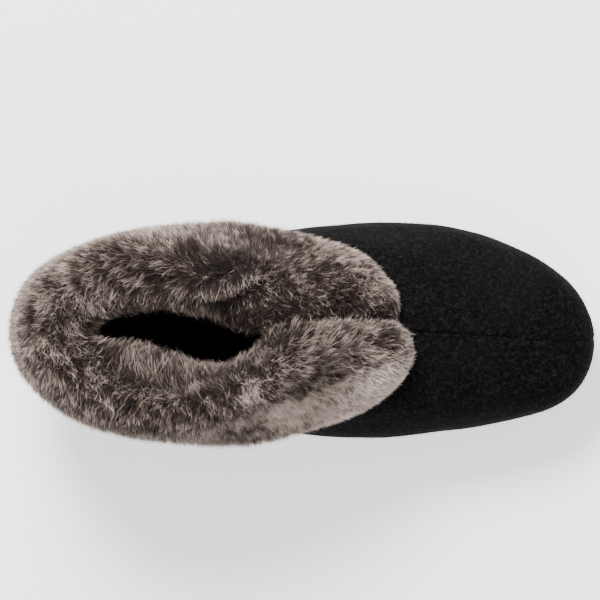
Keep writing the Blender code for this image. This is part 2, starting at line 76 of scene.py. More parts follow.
INNER_END_SWELL = 0.10
NOTCH_DEPTH = 0.006
NOTCH_WIDTH = 0.016
MOUTH_BACK = 0.114
MOUTH_FRONT = 0.414
MOUTH_WIDTH = 0.021
LIP_SINK = 0.007
LIP_TURNS = (1.75, 2.10, 2.70, 3.05)
LIP_BEND = (0.56, 0.80)

# Along the shoe: the half width on its outer and on its inner side, as shares of half the ball's width
OUTLINE = (
    (0.00, 1.10, 1.10),
    (0.15, 0.97, 0.955),
    (0.30, 0.875, 0.86),
    (0.45, 0.945, 0.965),
    (0.60, 1.035, 1.035),
    (0.75, 1.16, 1.035),
    (0.90, 1.26, 1.15),
    (1.00, 1.38, 1.42),
)
COLLAR = (
    (0.00, 1.04, 1.10),
    (0.30, 1.06, 1.06),
    (0.70, 0.91, 1.06),
    (1.00, 0.95, 1.03),
)
# The rings of the felt from the lasted margin up to the topline
SECTION_COLUMNS = ("back", "front", "width", "heel", "toe", "throat", "collar", "bed")
SECTIONS = (
    (0.051, 0.949, 0.732, 0.000, 0.00, 0.000, 0.00, 1.00),
    (0.020, 0.980, 0.896, 0.000, 0.00, 0.000, 0.00, 1.00),
    (0.014, 0.986, 0.926, 0.016, 0.04, 0.000, 0.00, 1.00),
    (0.006, 0.995, 0.968, 0.080, 0.20, 0.000, 0.00, 0.90),
    (0.000, 1.000, 1.000, 0.190, 0.42, 0.000, 0.00, 0.60),
    (0.001, 0.990, 0.972, 0.310, 0.67, 0.000, 0.08, 0.35),
    (0.004, 0.963, 0.900, 0.410, 0.85, 0.005, 0.18, 0.20),
    (0.008, 0.918, 0.836, 0.495, 0.96, 0.025, 0.32, 0.08),
    (0.012, 0.858, 0.788, 0.570, 1.00, 0.065, 0.47, 0.00),
    (0.016, 0.790, 0.750, 0.640, 1.00, 0.125, 0.61, 0.00),
    (0.020, 0.716, 0.716, 0.712, 1.00, 0.210, 0.75, 0.00),
    (0.023, 0.642, 0.690, 0.786, 1.00, 0.330, 0.87, 0.00),
    (0.026, 0.572, 0.664, 0.858, 1.00, 0.495, 0.95, 0.00),
    (0.028, 0.514, 0.642, 0.928, 1.00, 0.720, 1.00, 0.00),
    (0.030, 0.466, 0.620, 1.000, 1.00, 1.000, 1.00, 0.00),
)
TOP_ROW = len(SECTIONS) - 1
WALL_ROW = 3
# Along the mouth between the piles: its middle and its half width, as shares of MOUTH_WIDTH / 2
MOUTH = (
    (0.00, 0.02, 0.95),
    (0.22, 0.17, 0.80),
    (0.36, 0.12, 0.86),
    (0.55, -0.25, 0.97),
    (0.74, -0.53, 0.90),
    (0.90, -0.46, 0.64),
    (1.00, -0.23, 0.50),
)
# Round from the toe: how far the cuff hangs on the outer and on the inner side, as shares of CUFF_DROP
FLAP = (
    (0.00, 0.99, 1.02),
    (0.35, 1.00, 1.06),
    (0.70, 1.04, 1.11),
    (1.05, 1.13, 1.15),
    (1.40, 1.05, 1.05),
    (1.80, 0.97, 0.97),
    (3.15, 0.92, 0.92),
)
# Round from the toe: the depth of the pile on the outer and on the inner side, as shares of PILE_OUT
DEPTH = (
    (0.00, 1.00, 1.05),
    (0.80, 1.00, 0.80),
    (1.20, 1.00, 0.82),
    (1.60, 1.08, 1.14),
    (1.95, 1.05, 1.25),
    (2.40, 1.08, 1.25),
    (2.80, 1.16, 1.18),
    (3.15, 1.12, 1.12),
)

# The grid over the fur. The undercoat is as high as these shares of the pile at the hem, over the roll and
# inside, and has every third column of the grid, and every fourth row on its back
PILE_GRID_AROUND = 481
PILE_ROWS_OUTSIDE = 26
PILE_ROWS_ROLL = 14
PILE_ROWS_INSIDE = 12
UNDERCOAT_LEVELS = (0.55, 0.72, 0.80)
UNDERCOAT_STEP = 3
UNDERCOAT_BACK_STEP = 4

# The strands, in metres, in shares of the pile's height, and in shares of the way from root to tip
STRAND_COUNT = 262000
STRAND_PIECES = 8
STRAND_WIDTH = 0.00026
STRAND_STEPS = (0.0, 0.55, 1.0)
STRAND_TAPER = (1.0, 0.85)
STRAND_SHARE = 0.53
STRAND_FOOT = 0.42
LONGEST_STRAND = 0.0072
DEEPEST_ROOT = 0.70
SHORTEST_REACH = 0.0012
FRINGE_CHANCE = (-0.55, 0.25)
TUFT_SIZE = 0.0034
LOCK_SIZE = 0.0011
TUFT_PULL = 0.20
LOCK_PULL = 0.55
TONE_SHIFT = 0.010
PALEST_PATCH = 0.64
# Patch tones from which strands take the frosted colours; along the inner hem these are a painted rim light
FROST_AND_RIM_LIGHT_FROM = (0.30, 0.75)

# Where zones of the fur begin and end, as shares of the way from the hem outside to the hem inside.
# OUTSIDE_FADE counts from the start of the roll and INSIDE_FADE from its end
HEM_ZONE = (0.0, 0.10)
# The pale hem zone is a painted rim light towards the hem outside
HEM_RIM_LIGHT_ZONE = (0.02, 0.22)
OUTSIDE_FADE = (-0.08, 0.10)
INSIDE_FADE = (-0.14, 0.0)
# The middle and the width of the ragged edge over the mouth, counted from the end of the roll
MOUTH_EDGE = (-0.06, 0.07)
# The same way round the cuff, as shares of the way from its outer end to its inner one
OUTER_END_ZONE = (0.0, 0.05)
INNER_END_ZONE = (0.955, 0.995)
# How steep the pelt is at the side-facing rim, which gets a longer fringe and a painted rim light, and where
# the hair hangs, as the height of its normal
RIM_SLOPE = (0.15, 0.60)
HANGING_SLOPE = (0.2, 0.7)

# The felt: its loose fibres, the grooves of its seams with a welt on both sides, its slack and its dents
FUZZ_COUNT = 45000
FUZZ_WIDTH = 0.00013
FUZZ_LENGTHS = (0.0009, 0.0024)
FUZZ_FROM_ROW = 2.2
FUZZ_GRID = (60, 241)
SEAM_COLUMNS_AT = (0.0003, 0.0006, 0.00095, 0.0014, 0.0020, 0.0029, 0.0042)
SEAM_DEPTH = 0.0008
SEAM_WIDTH = 0.0006
WELT_RISE = 0.0003
WELT_PLACE = 0.0021
WELT_WIDTH = 0.0011
SLACK = 0.00045
DENTS = 0.00018

# The sole's corners this close together in metres are one, and its edges up to this angle in degrees are smooth
WELD = 0.000001
CRISP_EDGE = 27

# The camera looks straight down. At the height SCALE_LEVEL a pixel of the picture is PIXEL wide, in metres
PICTURE = 600
PIXEL = 0.0004556
CAMERA_HEIGHT = 2.6
SCALE_LEVEL = 0.042
CAMERA_OVER = (0.0825, 0.0137)
SENSOR = 36
LIGHT_AIM = (0.08, 0, 0.04)

# How the hair is combed: x and y in millimetres, the heading of its tips in degrees from the toe's direction
# towards the outer side, and how far it leans
COMB = (
    (-44, 0, 200, 0.50),
    (-38, 18, 215, 0.50),
    (-24, 36, 205, 0.50),
    (-6, 31, 215, 0.50),
    (-2, 43, 165, 0.50),
    (16, 27, 188, 0.50),
    (31, 43, 120, 0.50),
    (48, 46, 115, 0.50),
    (62, 44, 105, 0.50),
    (38, 27, 155, 0.45),
    (47, 18, 330, 0.50),
    (56, 22, 305, 0.55),
    (82, 40, 320, 0.50),
    (103, 35, 315, 0.50),
    (123, 20, 295, 0.50),
    (107, 22, 250, 0.45),
    (78, 25, 265, 0.45),
    (93, 10, 230, 0.30),
    (60, 9, 325, 0.45),
    (-23, 3, 250, 0.30),
    (-31, -9, 290, 0.40),
    (-23, -20, 290, 0.40),
    (-6, -31, 295, 0.40),
    (7, -43, 278, 0.40),
    (29, -46, 285, 0.40),
    (47, -37, 300, 0.40),
    (61, -31, 320, 0.50),
    (11, -9, 110, 0.40),
    (29, -15, 95, 0.40),
    (45, -14, 70, 0.50),
    (60, -9, 60, 0.50),
    (78, 0, 50, 0.50),
    (86, -10, 40, 0.50),
    (100, -1, 55, 0.50),
    (100, -17, 15, 0.50),
    (129, -9, 0, 0.50),
    (126, -20, 345, 0.55),
    (112, -30, 325, 0.55),
    (93, -37, 320, 0.55),
    (76, -42, 312, 0.50),
    (89, -24, 328, 0.50),
    (71, -21, 35, 0.50),
    (5, -21, 290, 0.25),
)

# Darker and paler patches of the pelt: x, y and size in millimetres, and the change of tone. Some of them are
# painted light and shade, as marked below
PATCHES = (
    (-3, 34, 5, -0.25),
    (15, 27, 7, -0.30),
    (22, 21, 6, -0.12),
    (66, 38, 7, -0.50),
    (78, 35, 6, -0.30),
    (50, 27, 6, -0.50),
    (42, 31, 13, -0.32),
    (34, 13, 7, -0.20),
    (-23, 3, 5, -0.25),
    (-37, 1, 4, -0.25),
    (-20, -19, 5, -0.45),
    (-7, -2, 3, -0.50),
    (9, -20.5, 3, -0.42),
    (6, -35.5, 3.2, -0.50),
    (-14, -31, 4, -0.30),
    (17, -39, 4, -0.45),
    (27, -39, 4, -0.28),
    (35, -35.5, 3.5, -0.45),
    (38, -29, 3, -0.30),
    (51, -25, 4, -0.20),
    (70, -33, 4, -0.35),
    (79, -31, 3.5, -0.40),
    (85, -27, 3.5, -0.40),
    (91, -23.5, 3.5, -0.40),
    (98, -20, 3.5, -0.45),
    (104, -17, 2.5, -0.35),
    (110, -17, 2.5, -0.40),
    (44, -34, 10, -0.14),
    (22, -14.5, 3.5, -0.34),
    (74, 26, 6, -0.20),
    (88, 22, 6, -0.30),
    (98, 27, 8, -0.30),
    (104, 11, 6, -0.40),
    (123.5, 9.5, 4, -0.50),
    (121.5, -5.5, 3.5, -0.40),
    (87, 13, 4, -0.25),
    (107, -0.5, 2, -0.30),
    (99.5, -5, 2.5, -0.30),
    # The next four patches are painted shade on the slope between the lip and the mouth
    (47, 9, 5, -0.30),
    (58, 5, 6, -0.40),
    (69, 8, 6, -0.30),
    (80, 9, 5, -0.08),
    (4, 2, 6, -0.20),
    (20, -5, 4, -0.20),
    (48.5, 36, 3, 0.22),
    (57, 43, 6, -0.32),
    (38, 43, 6, -0.14),
    (-30, 11, 4, 0.25),
    (18, 43, 5, 0.12),
    (8, -6, 4, 0.20),
    (10, -14, 2.5, 0.26),
    (16, -17, 2.5, 0.24),
    (33, -16.5, 3.5, 0.15),
    (-7.5, -32.5, 2.5, 0.28),
    (23, -29, 4, 0.20),
    (60, -29, 4, 0.35),
    (50, -38, 4, 0.08),
    (47, -36, 6, -0.16),
    (-31, -6, 4, 0.20),
    (102, 0, 4, 0.20),
    (76, -9, 4, 0.15),
    (100, -12, 8, 0.16),
    (107, 33, 6, 0.50),
    (94, 40, 5, 0.40),
    (118, 24, 5, 0.25),
    # The next nine patches are a painted rim light along the inner hem, which faces away from the key lamp
    (72, -41, 6, 0.55),
    (80, -39, 6, 0.80),
    (93, -36, 7, 0.80),
    (105, -31, 7, 0.75),
    (116, -25, 7, 0.65),
    (126, -17, 6, 0.50),
    (104, -38, 5, 0.50),
    (114, -33, 5, 0.55),
    (124, -26, 5, 0.50),
    (86, -40, 2.2, -0.30),
    (92, -38, 2, -0.35),
    (98, -35.5, 2.2, -0.40),
    (105, -32.5, 2, -0.35),
)

# Folds in the pelt, along a line in millimetres with the ridge on its left and the hollow on its right
LIP_LINE = ((37, 12.2), (44, 13), (50, 13.6), (56.5, 16.2), (61.5, 19.6), (66, 23.4))
PARTING_LINE = ((31, -8), (23.5, -9.4), (13, -11.5), (3, -14.3), (-6, -17))
CREASE_LINE = ((56, -16), (47, -19.5), (30, -23), (13, -27))
# The line, the rise of ridge and hollow in metres, their reach in millimetres, and their change of tone: a
# painted highlight on the ridge and painted shade in the hollow
FOLDS = (
    (LIP_LINE, 0.0030, -0.0032, 9.0, 0.26, -0.34),
    (PARTING_LINE, 0.0014, -0.0010, 4.5, 0.14, -0.30),
    (CREASE_LINE, 0.0011, -0.0009, 6.5, 0.18, -0.30),
)
# Where along its line a fold comes up and goes out, how it turns from hollow to ridge across it in millimetres,
# and from what height up it is there
FOLD_START = (-0.12, 0.20)
FOLD_END = (0.80, 1.12)
FOLD_TURN = (-0.5, 0.7)
FOLD_LEVEL = (0.080, 0.090)


def smooth(table, column, at):
    """A table's column at any place, on a smooth curve through its rows."""
    places = np.array([row[0] for row in table], float)
    values = np.array([row[column] for row in table], float)
    slopes = np.gradient(values, places)
    at = np.clip(np.asarray(at, float), places[0], places[-1])
    i = np.clip(np.searchsorted(places, at, side="right") - 1, 0, len(places) - 2)
    span = places[i + 1] - places[i]
    t = (at - places[i]) / span
    return (
        (2 * t**3 - 3 * t**2 + 1) * values[i]
        + (t**3 - 2 * t**2 + t) * span * slopes[i]
        + (3 * t**2 - 2 * t**3) * values[i + 1]
        + (t**3 - t**2) * span * slopes[i + 1]
    )


def ease(value, start, end):
    """0 up to the start, 1 from the end on, and smooth between."""
    t = np.clip((np.asarray(value, float) - start) / (end - start), 0, 1)
    return t * t * (3 - 2 * t)


def bell(value, centre, width):
    return np.exp(-(((value - centre) / width) ** 2))


def quarter_round(distance, radius):
    t = np.clip(np.asarray(distance, float) / radius, 0, 1)
    return np.sqrt(1 - (1 - t) ** 2)


def half_width(turn, collar=0.0):
    """The outline's distance from the middle line, as a share of half the ball's width."""
    along = (1 - np.cos(turn)) / 2
    outer = np.sin(turn) >= 0
    sole_line = np.where(outer, smooth(OUTLINE, 1, along), smooth(OUTLINE, 2, along))
    collar_line = np.where(outer, smooth(COLLAR, 1, along), smooth(COLLAR, 2, along))
    return np.sin(turn) * (sole_line + (collar_line - sole_line) * collar)


def swing(x):
    return -TOE_SWING * ease(x / SHOE_LENGTH, 0.55, 1.0)


def in_frame(x, y, z):
    return np.stack(np.broadcast_arrays(x - HEEL_SEAT, y, z), -1)


def sole_top(x):
    along = np.asarray(x, float) / SHOE_LENGTH
    wedge = (SOLE_HEEL - SOLE_BALL) * (1 - ease(along, WEDGE_START, WEDGE_END))
    toe = TOE_SPRING * np.clip((along - BALL_FLAT_END) / (1 - BALL_FLAT_END), 0, 1) ** 2
    return SOLE_BALL + wedge + toe


def section_values(row):
    table = [(i, *values) for i, values in enumerate(SECTIONS)]
    return {name: smooth(table, i + 1, row) for i, name in enumerate(SECTION_COLUMNS)}


def felt_surface(row, turn):
    s = section_values(row)
    along = (1 - np.cos(turn)) / 2
    x = SHOE_LENGTH * (s["back"] + (s["front"] - s["back"]) * along)
    y = BALL_WIDTH / 2 * s["width"] * half_width(turn, s["collar"]) + swing(x)
    level = sole_top(0) + (sole_top(SHOE_LENGTH) - sole_top(0)) * x / SHOE_LENGTH
    bed = level + (sole_top(x) - level) * s["bed"] + CLEARANCE
    front = s["toe"] * TOE_BOX_RISE + s["throat"] * (TOPLINE_RISE - TOE_BOX_RISE)
    back = s["heel"] * TOPLINE_RISE
    return in_frame(x, y, bed + back + (front - back) * along)


def unit(vectors):
    return vectors / np.maximum(np.linalg.norm(vectors, axis=-1, keepdims=True), 1e-12)


def lying(vectors, normal):
    """What is left of the vectors along a surface."""
    return vectors - normal * np.sum(vectors * normal, axis=1)[:, None]


def felt_up(row, turn, step=0.02):
    low, high = np.maximum(row - step, 0), np.minimum(row + step, TOP_ROW)
    return unit(felt_surface(high, turn) - felt_surface(low, turn))


def felt_normal(row, turn, step=0.02):
    forward = felt_surface(row, turn + step) - felt_surface(row, turn - step)
    return unit(np.cross(felt_up(row, turn), forward))


def row_below(turn, distance):
    """The felt's row at a distance below the topline, measured along the wall."""
    turn = np.asarray(turn, float)
    rows = np.linspace(TOP_ROW, WALL_ROW, 60)
    points = felt_surface(rows[:, None], turn[None, :])
    steps = np.linalg.norm(np.diff(points, axis=0), axis=-1)
    distances = np.concatenate([np.zeros((1, len(turn))), np.cumsum(steps, axis=0)])
    distance = np.broadcast_to(distance, turn.shape)
    return np.array([np.interp(distance[i], distances[:, i], rows) for i in range(len(turn))])


def mouth_ring(turn):
    along = (1 - np.cos(turn)) / 2
    x = SHOE_LENGTH * (MOUTH_BACK + (MOUTH_FRONT - MOUTH_BACK) * along)
    y = MOUTH_WIDTH / 2 * (smooth(MOUTH, 1, along) + np.sin(turn) * smooth(MOUTH, 2, along))
    return in_frame(x, y, 0.0)


def band_turns(share, count):
    """Turns round the cuff from its outer end to its inner one, at a share of its drop."""
    split = math.pi - (SPLIT_TOP + (SPLIT_HEM - SPLIT_TOP) * share)
    half_gap = SPLIT_GAP / 2 / (BALL_WIDTH / 2 * SECTIONS[TOP_ROW - 3][2])
    return np.linspace(split - half_gap, split - 2 * math.pi + half_gap, count)


def from_split(count):
    turn = band_turns(0.0, count)
    return BALL_WIDTH / 2 * SECTIONS[TOP_ROW - 3][2] * np.minimum(turn[0] - turn, turn - turn[-1])


def end_pile(count):
    """The share of the pile's depth that is left towards the cuff's two ends."""
    away = from_split(count)
    outer = OUTER_END_PILE + (1 - OUTER_END_PILE) * quarter_round(away, OUTER_END_ROUND)
    inner = INNER_END_PILE + (1 - INNER_END_PILE) * quarter_round(away, INNER_END_ROUND)
    inner = inner + INNER_END_SWELL * (1 - ease(away, INNER_END_ROUND, 4 * INNER_END_ROUND))
    on_outer_half = np.arange(count) * 2 < count - 1
    return np.where(on_outer_half, outer, inner)[:, None]


def outside_depth(turn):
    from_toe = np.arccos(np.clip(-np.cos(turn), -1, 1))
    share = np.where(np.sin(turn) >= 0, smooth(DEPTH, 1, from_toe), smooth(DEPTH, 2, from_toe))
    return PILE_OUT * share[:, None] * end_pile(len(turn))


def lip_sink(turn, bend):
    """How far the lip over the mouth sinks beside the instep."""
    window = ease(turn, LIP_TURNS[0], LIP_TURNS[1]) * (1 - ease(turn, LIP_TURNS[2], LIP_TURNS[3]))
    return (LIP_SINK * window * ease(bend / math.pi, LIP_BEND[0], LIP_BEND[1]))[:, None]


def band_drop(count):
    """How far the cuff hangs outside, with a notch at its ends."""
    turn = band_turns(1.0, count)
    from_toe = np.arccos(np.clip(-np.cos(turn), -1, 1))
    share = np.where(np.sin(turn) >= 0, smooth(FLAP, 1, from_toe), smooth(FLAP, 2, from_toe))
    return CUFF_DROP * share - NOTCH_DEPTH * (1 - np.minimum(from_split(count) / NOTCH_WIDTH, 1)) ** 2


def pile_grids():
    """Skin and pile surface on one grid: rows from the hem outside, over the roll, to the hem inside."""
    count = PILE_GRID_AROUND
    drop = band_drop(count)
    pile_share = end_pile(count)
    skin, pile = [], []
    for share in np.linspace(1.0, 0.0, PILE_ROWS_OUTSIDE, endpoint=False):
        turn = band_turns(share, count)
        at = row_below(turn, share * drop)
        normal, surface = felt_normal(at, turn), felt_surface(at, turn)
        height = outside_depth(turn) * quarter_round((1 - share) * drop, HEM_ROUND)[:, None]
        skin.append(surface + normal * CUFF_GAP)
        pile.append(surface + normal * (CUFF_GAP + height))
    turn = band_turns(0.0, count)
    out, up = felt_normal(TOP_ROW, turn), felt_up(TOP_ROW, turn)
    rim = felt_surface(TOP_ROW, turn) - FELT / 2 * out
    to_mouth = (mouth_ring(turn) - rim) * (1, 1, 0)
    for bend in np.linspace(0, math.pi, PILE_ROWS_ROLL):
        side = out * (FELT / 2 + CUFF_GAP + outside_depth(turn)) if bend < math.pi / 2 else -to_mouth
        over = up * (FELT / 2 + CUFF_GAP + PILE_ROLL * pile_share)
        direction = math.cos(bend) * out + math.sin(bend) * up
        skin.append(rim + direction * (FELT / 2 + CUFF_GAP))
        pile.append(rim + math.cos(bend) * side + math.sin(bend) * over - lip_sink(turn, bend) * (0, 0, 1))
    for share in np.linspace(0.0, 1.0, PILE_ROWS_INSIDE + 1)[1:]:
        at = row_below(turn, share * CUFF_LINING)
        normal = felt_normal(at, turn)
        wall = felt_surface(at, turn) - normal * (FELT + CUFF_GAP)
        height = quarter_round((1 - share) * CUFF_LINING, HEM_ROUND)
        skin.append(wall)
        pile.append(wall + (mouth_ring(turn) - wall) * (1, 1, 0) * height)
    return np.array(skin), np.array(pile)


def sample(grid, v, u):
    """Values of a grid of rows and columns at fractional places."""
    rows, columns = grid.shape[:2]
    v, u = np.clip(v, 0, rows - 1.001), np.clip(u, 0, columns - 1.001)
    r, c = v.astype(int), u.astype(int)
    a, b = (v - r), (u - c)
    if grid.ndim == 3:
        a, b = a[:, None], b[:, None]
    return (grid[r, c] * (1 - a) + grid[r + 1, c] * a) * (1 - b) + (
        grid[r, c + 1] * (1 - a) + grid[r + 1, c + 1] * a
    ) * b


def field(points, cell, seed):
    """Smooth random values between -1 and 1 in space, from random waves about one cell long."""
    waves = np.random.default_rng(seed)
    total = np.zeros(len(points))
    for _ in range(14):
        direction = unit(waves.normal(size=3))
        length = cell * waves.uniform(0.7, 1.6)
        total += np.sin(points @ direction * 2 * math.pi / length + waves.uniform(0, 2 * math.pi))
    return np.clip(total / 5.0, -1, 1)


def combing(points):
    """Where the tips lean, seen from above, blended between the places of the comb's table."""
    total = np.zeros((len(points), 2))
    weights = np.zeros(len(points))
    for x, y, heading, lean in COMB:
        distance = (points[:, 0] * 1000 - x) ** 2 + (points[:, 1] * 1000 - y) ** 2
        weight = 1 / (distance + 30) ** 2
        angle = math.radians(heading)
        total += weight[:, None] * lean * np.array([math.cos(angle), math.sin(angle)])
        weights += weight
    return total / weights[:, None]


def patches(points):
    """Change of tone by the listed patches, with ragged borders."""
    ragged = points[:, :2] * 1000 + 2.5 * np.stack([field(points, 0.006, 31), field(points, 0.006, 32)], -1)
    total = np.zeros(len(points))
    for x, y, size, tone in PATCHES:
        distance = (ragged[:, 0] - x) ** 2 + (ragged[:, 1] - y) ** 2
        total += tone * np.exp(-distance / (1.3 * size) ** 2)
    return total


def from_line(points, line):
    """Distance in millimetres to a line seen from above, positive on its left, and the share along it."""
    at = points[:, :2] * 1000
    best = np.full(len(points), np.inf)
    side = np.zeros(len(points))
    share = np.zeros(len(points))
    pieces = len(line) - 1
    for i in range(pieces):
        start, end = np.array(line[i], float), np.array(line[i + 1], float)
        along = end - start
        t = (at - start) @ along / (along @ along)
        nearest = start + np.clip(t, 0, 1)[:, None] * along
        gap = at - nearest
        distance = np.linalg.norm(gap, axis=1)
        left = np.sign(along[0] * (at[:, 1] - start[1]) - along[1] * (at[:, 0] - start[0]))
        closer = distance < best
        best[closer] = distance[closer]
        side[closer] = left[closer]
        share[closer] = (i + t[closer]) / pieces
    return best * side, share


def folds(points):
    """Rise of the pelt in metres by its folds, their painted highlight and shade as a change of tone, and the
    lean of the hair over them.
    """
    rise = np.zeros(len(points))
    tone = np.zeros(len(points))
    lean = np.zeros((len(points), 3))
    high = ease(points[:, 2], *FOLD_LEVEL)
    for line, ridge, hollow, reach, ridge_highlight, dark in FOLDS:
        distance, share = from_line(points, line)
        ends = high * ease(share, *FOLD_START) * (1 - ease(share, *FOLD_END))
        left = ease(distance, *FOLD_TURN)
        rise += ends * (left * ridge * np.exp(-2 * (distance / reach) ** 2))
        rise += ends * ((1 - left) * hollow * np.exp(-1.2 * (distance / reach) ** 2))
        # Painted highlight along the ridge and painted shade in the hollow, as changes of the strands' tone
        tone += ends * left * ridge_highlight * bell(distance, 1.8, 1.8)
        tone += ends * (1 - left) * dark * bell(distance, -0.7, 1.5)
        way = np.array(line[-1], float) - np.array(line[0], float)
        over = np.array([way[1], -way[0], 0.0]) / np.linalg.norm(way)
        lean += (0.35 * ends * left * bell(distance, 0, 3.5))[:, None] * over
    return rise, tone, lean


def new_mesh_object(name, points, faces, material):
    mesh = bpy.data.meshes.new(name)
    mesh.from_pydata([tuple(p) for p in points.tolist()], [], faces)
    mesh.shade_smooth()
    mesh.materials.append(material)
    obj = bpy.data.objects.new(name, mesh)
    bpy.context.scene.collection.objects.link(obj)
    return obj


def node(tree, kind, inputs=None, **settings):
    made = tree.nodes.new(kind)
    for key, value in settings.items():
        setattr(made, key, value)
    for key, value in (inputs or {}).items():
        if hasattr(value, "links"):
            tree.links.new(value, made.inputs[key])
        else:
            made.inputs[key].default_value = value
    return made


def ramp(tree, factor, stops):
    made = node(tree, "ShaderNodeValToRGB", {0: factor})
    elements = made.color_ramp.elements
    while len(elements) < len(stops):
        elements.new(0.5)
    for element, (place, colour) in zip(elements, stops):
        element.position = place
        element.color = (*colour, 1)
    return made.outputs["Color"]


def new_material(name, roughness):
    material = bpy.data.materials.new(name)
    material.use_nodes = True
    shader = material.node_tree.nodes["Principled BSDF"]
    shader.inputs["Roughness"].default_value = roughness
    return material, material.node_tree, shader


def fur_material():
    """Strands: the map's V runs from root to tip, and its U from dark brown strands to pale ones."""
    material, tree, shader = new_material("frosted_fur", 0.55)
    uv = node(tree, "ShaderNodeUVMap", uv_map="OFBake")
    parts = node(tree, "ShaderNodeSeparateXYZ", {0: uv.outputs[0]})
    dark = ramp(tree, parts.outputs["Y"], (
        (0.0, (0.002, 0.0012, 0.0010)),
        (0.6, (0.006, 0.0034, 0.0026)),
        (1.0, (0.018, 0.0103, 0.0078)),
    ))
    middle = ramp(tree, parts.outputs["Y"], (
        (0.0, (0.005, 0.0030, 0.0025)),
        (0.45, (0.019, 0.0115, 0.0090)),
        (0.80, (0.122, 0.084, 0.068)),
        (1.0, (0.250, 0.184, 0.153)),
    ))
    pale = ramp(tree, parts.outputs["Y"], (
        (0.0, (0.012, 0.0075, 0.0060)),
        (0.38, (0.060, 0.041, 0.033)),
        (0.70, (0.47, 0.375, 0.320)),
        (1.0, (0.86, 0.735, 0.660)),
    ))
    frost = ramp(tree, parts.outputs["Y"], (
        (0.0, (0.16, 0.125, 0.105)),
        (0.30, (0.50, 0.415, 0.365)),
        (0.70, (0.80, 0.69, 0.62)),
        (1.0, (0.92, 0.82, 0.75)),
    ))
    low = node(tree, "ShaderNodeMapRange", {0: parts.outputs["X"], 1: 0.0, 2: 0.45})
    high = node(tree, "ShaderNodeMapRange", {0: parts.outputs["X"], 1: 0.45, 2: 0.90})
    most = node(tree, "ShaderNodeMapRange", {0: parts.outputs["X"], 1: 0.90, 2: 1.0})
    colour = dark
    for share, paler in ((low, middle), (high, pale), (most, frost)):
        mix = node(tree, "ShaderNodeMix", {0: share.outputs[0], 6: colour, 7: paler}, data_type="RGBA")
        colour = mix.outputs[2]
    tree.links.new(colour, shader.inputs["Base Color"])
    shader.inputs["Specular IOR Level"].default_value = 0.22
    shader.inputs["Sheen Weight"].default_value = 0.06
    shader.inputs["Sheen Roughness"].default_value = 0.5
    shader.inputs["Sheen Tint"].default_value = (1, 0.90, 0.82, 1)
    return material


def undercoat_material():
    material, tree, shader = new_material("fur_undercoat", 0.95)
    place = node(tree, "ShaderNodeTexCoord")
    noise = node(tree, "ShaderNodeTexNoise", {"Vector": place.outputs["Object"], "Scale": 700.0, "Detail": 4.0})
    colour = ramp(tree, noise.outputs["Fac"], (
        (0.35, (0.004, 0.0026, 0.0021)),
        (0.55, (0.013, 0.0090, 0.0075)),
        (0.75, (0.05, 0.038, 0.032)),
    ))
    tree.links.new(colour, shader.inputs["Base Color"])
    bump = node(tree, "ShaderNodeBump", {"Height": noise.outputs["Fac"], "Strength": 1.0, "Distance": 0.002})
    tree.links.new(bump.outputs[0], shader.inputs["Normal"])
    return material


def felt_material():
    """Black wool felt: a matted nap, a few paler fibres, and a faint brown cast."""
    material, tree, shader = new_material("black_felt", 0.92)
    place = node(tree, "ShaderNodeTexCoord").outputs["Object"]
    nap = node(tree, "ShaderNodeTexNoise", {"Vector": place, "Scale": 1500.0, "Detail": 4.0, "Roughness": 0.7})
    mat = node(tree, "ShaderNodeTexNoise", {"Vector": place, "Scale": 520.0, "Detail": 5.0, "Roughness": 0.65})
    worn = node(tree, "ShaderNodeTexNoise", {"Vector": place, "Scale": 28.0, "Detail": 3.0})
    both = node(tree, "ShaderNodeMix", {0: 0.6, 2: nap.outputs["Fac"], 3: mat.outputs["Fac"]})
    dark = ramp(tree, both.outputs[0], (
        (0.40, (0.0008, 0.0007, 0.0007)),
        (0.50, (0.0022, 0.0020, 0.0020)),
        (0.58, (0.0075, 0.0070, 0.0068)),
        (0.68, (0.022, 0.0205, 0.0200)),
    ))
    warm = node(tree, "ShaderNodeMix", {6: dark, 7: (0.0075, 0.0058, 0.0050, 1)}, data_type="RGBA")
    cast = node(tree, "ShaderNodeMapRange", {0: worn.outputs["Fac"], 1: 0.45, 2: 0.75, 4: 0.35})
    tree.links.new(cast.outputs[0], warm.inputs[0])
    tree.links.new(warm.outputs[2], shader.inputs["Base Color"])
    fine = node(tree, "ShaderNodeBump", {"Height": both.outputs[0], "Strength": 0.9, "Distance": 0.0006})
    tree.links.new(fine.outputs[0], shader.inputs["Normal"])
    shader.inputs["Specular IOR Level"].default_value = 0.05
    return material


def rubber_material():
    material, tree, shader = new_material("moulded_rubber", 0.62)
    place = node(tree, "ShaderNodeTexCoord").outputs["Object"]
    grain = node(tree, "ShaderNodeTexNoise", {"Vector": place, "Scale": 1300.0, "Detail": 3.0})
    wear = node(tree, "ShaderNodeTexNoise", {"Vector": place, "Scale": 45.0, "Detail": 6.0})
    colour = ramp(tree, wear.outputs["Fac"], (
        (0.35, (0.0060, 0.0058, 0.0056)),
        (0.6, (0.0095, 0.0092, 0.0090)),
        (0.75, (0.016, 0.0152, 0.0146)),
    ))
    tree.links.new(colour, shader.inputs["Base Color"])
    shader.inputs["Specular IOR Level"].default_value = 0.18
    gloss = node(tree, "ShaderNodeMapRange", {0: wear.outputs["Fac"], 3: 0.5, 4: 0.8})
    tree.links.new(gloss.outputs[0], shader.inputs["Roughness"])
    bump = node(tree, "ShaderNodeBump", {"Height": grain.outputs["Fac"], "Strength": 0.35, "Distance": 0.0003})
    tree.links.new(bump.outputs[0], shader.inputs["Normal"])
    return material


